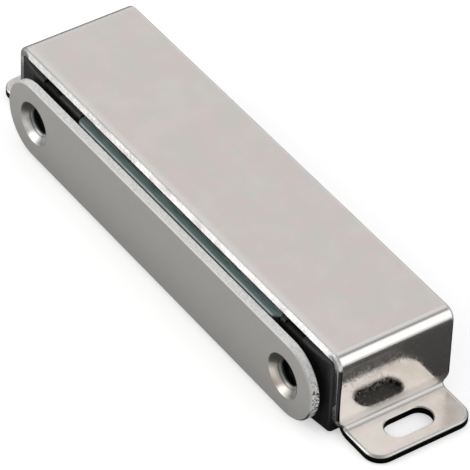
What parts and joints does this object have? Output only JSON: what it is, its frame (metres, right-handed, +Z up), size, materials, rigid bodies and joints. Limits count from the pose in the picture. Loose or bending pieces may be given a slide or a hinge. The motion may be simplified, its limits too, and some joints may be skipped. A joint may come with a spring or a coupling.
{
  "type": "magnetic catch",
  "caption": "Surface-mounted magnetic door catch: folded steel housing with slotted tabs, magnet between pole plates in a plastic carrier, and an obround strike plate that pulls off.",
  "frame": {"origin": "on the mounting plane under the tabs, midway between the two fixing slots", "axes": "+X along the body, -Y out of the front, the way the strike pulls off, +Z up from the mounting plane"},
  "size_m": [0.095, 0.0221, 0.014],
  "materials": {
    "stainless_sheet": "polished stainless sheet, satin on top, mirror bright at the ends",
    "carrier_plastic": "black moulded plastic",
    "plated_pole_steel": "blue-green passivated zinc plate",
    "ferrite": "dark grey ground ferrite",
    "strike_steel": "satin face with a bright sheared edge"
  },
  "bodies": {
    "catch": {"housing": "stainless_sheet", "magnet_carrier": "carrier_plastic", "upper_pole_plate": "plated_pole_steel", "lower_pole_plate": "plated_pole_steel", "ferrite_magnet": "ferrite"},
    "strike": {"strike_plate": "strike_steel"}
  },
  "joints": [
    {"name": "strike_pull", "type": "slide", "parent": "catch", "child": "strike", "axis": [0, -1, 0], "range_m": [0, 0.03]}
  ]
}
